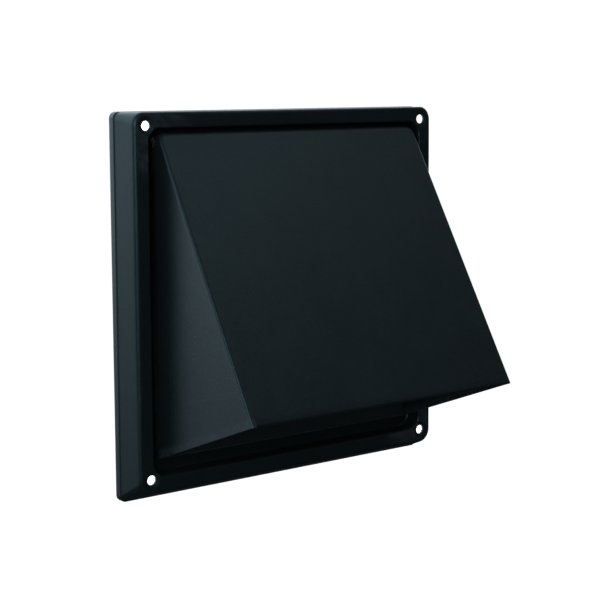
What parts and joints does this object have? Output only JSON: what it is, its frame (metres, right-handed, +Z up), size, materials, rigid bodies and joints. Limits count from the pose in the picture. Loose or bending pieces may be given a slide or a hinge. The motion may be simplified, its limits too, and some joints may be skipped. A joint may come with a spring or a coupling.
{
  "type": "hooded wall vent",
  "caption": "Hooded louvre vent for an outside wall: a sheet-steel base and rain hood over a hinged backdraught flap, with a round duct spigot behind.",
  "frame": {"origin": "centre of the four wall-screw holes, on the wall plane, which is also the duct's axis", "axes": "+Z up, +Y into the wall along the duct, +X to the right seen from the hood's side"},
  "size_m": [0.2, 0.146, 0.2005],
  "materials": {
    "powder_coated_steel": "fine satin powder coat, near black with a cool tint",
    "coated_flap": "satin coated aluminium sheet, slate",
    "blackened_steel": "drawn wire and spring steel, blackened",
    "white_nylon": "natural nylon, slightly waxy",
    "black_nylon": "moulded nylon, dyed black",
    "black_rubber": "matt moulded rubber",
    "grey_foam": "closed-cell foam strip",
    "zinc_coated_steel": "galvanised sheet with a soft spangle",
    "rivet_aluminium": "plain blind rivet"
  },
  "bodies": {
    "housing": {"base_frame": "powder_coated_steel", "hood": "powder_coated_steel", "pin_bush_left": "black_nylon", "pin_bush_right": "black_nylon", "stop_pad_left": "black_rubber", "stop_pad_right": "black_rubber", "flap_seal": "black_rubber", "duct_spigot": "zinc_coated_steel", "spigot_gasket": "black_rubber", "wall_gasket": "grey_foam", "rivet_top_left": "rivet_aluminium", "rivet_top_right": "rivet_aluminium", "rivet_bottom_left": "rivet_aluminium", "rivet_bottom_right": "rivet_aluminium", "wall_spacer_top_left": "white_nylon", "wall_spacer_top_right": "white_nylon", "wall_spacer_bottom_left": "white_nylon", "wall_spacer_bottom_right": "white_nylon"},
    "flap": {"damper_flap": "coated_flap", "flap_pin": "blackened_steel", "pin_clip_left": "blackened_steel", "pin_clip_right": "blackened_steel"}
  },
  "joints": [
    {"name": "flap_hinge", "type": "hinge", "parent": "housing", "child": "flap", "pos_m": [0, -0.0135, 0.0815], "axis": [-1, 0, 0], "range_deg": [0, 30]}
  ]
}
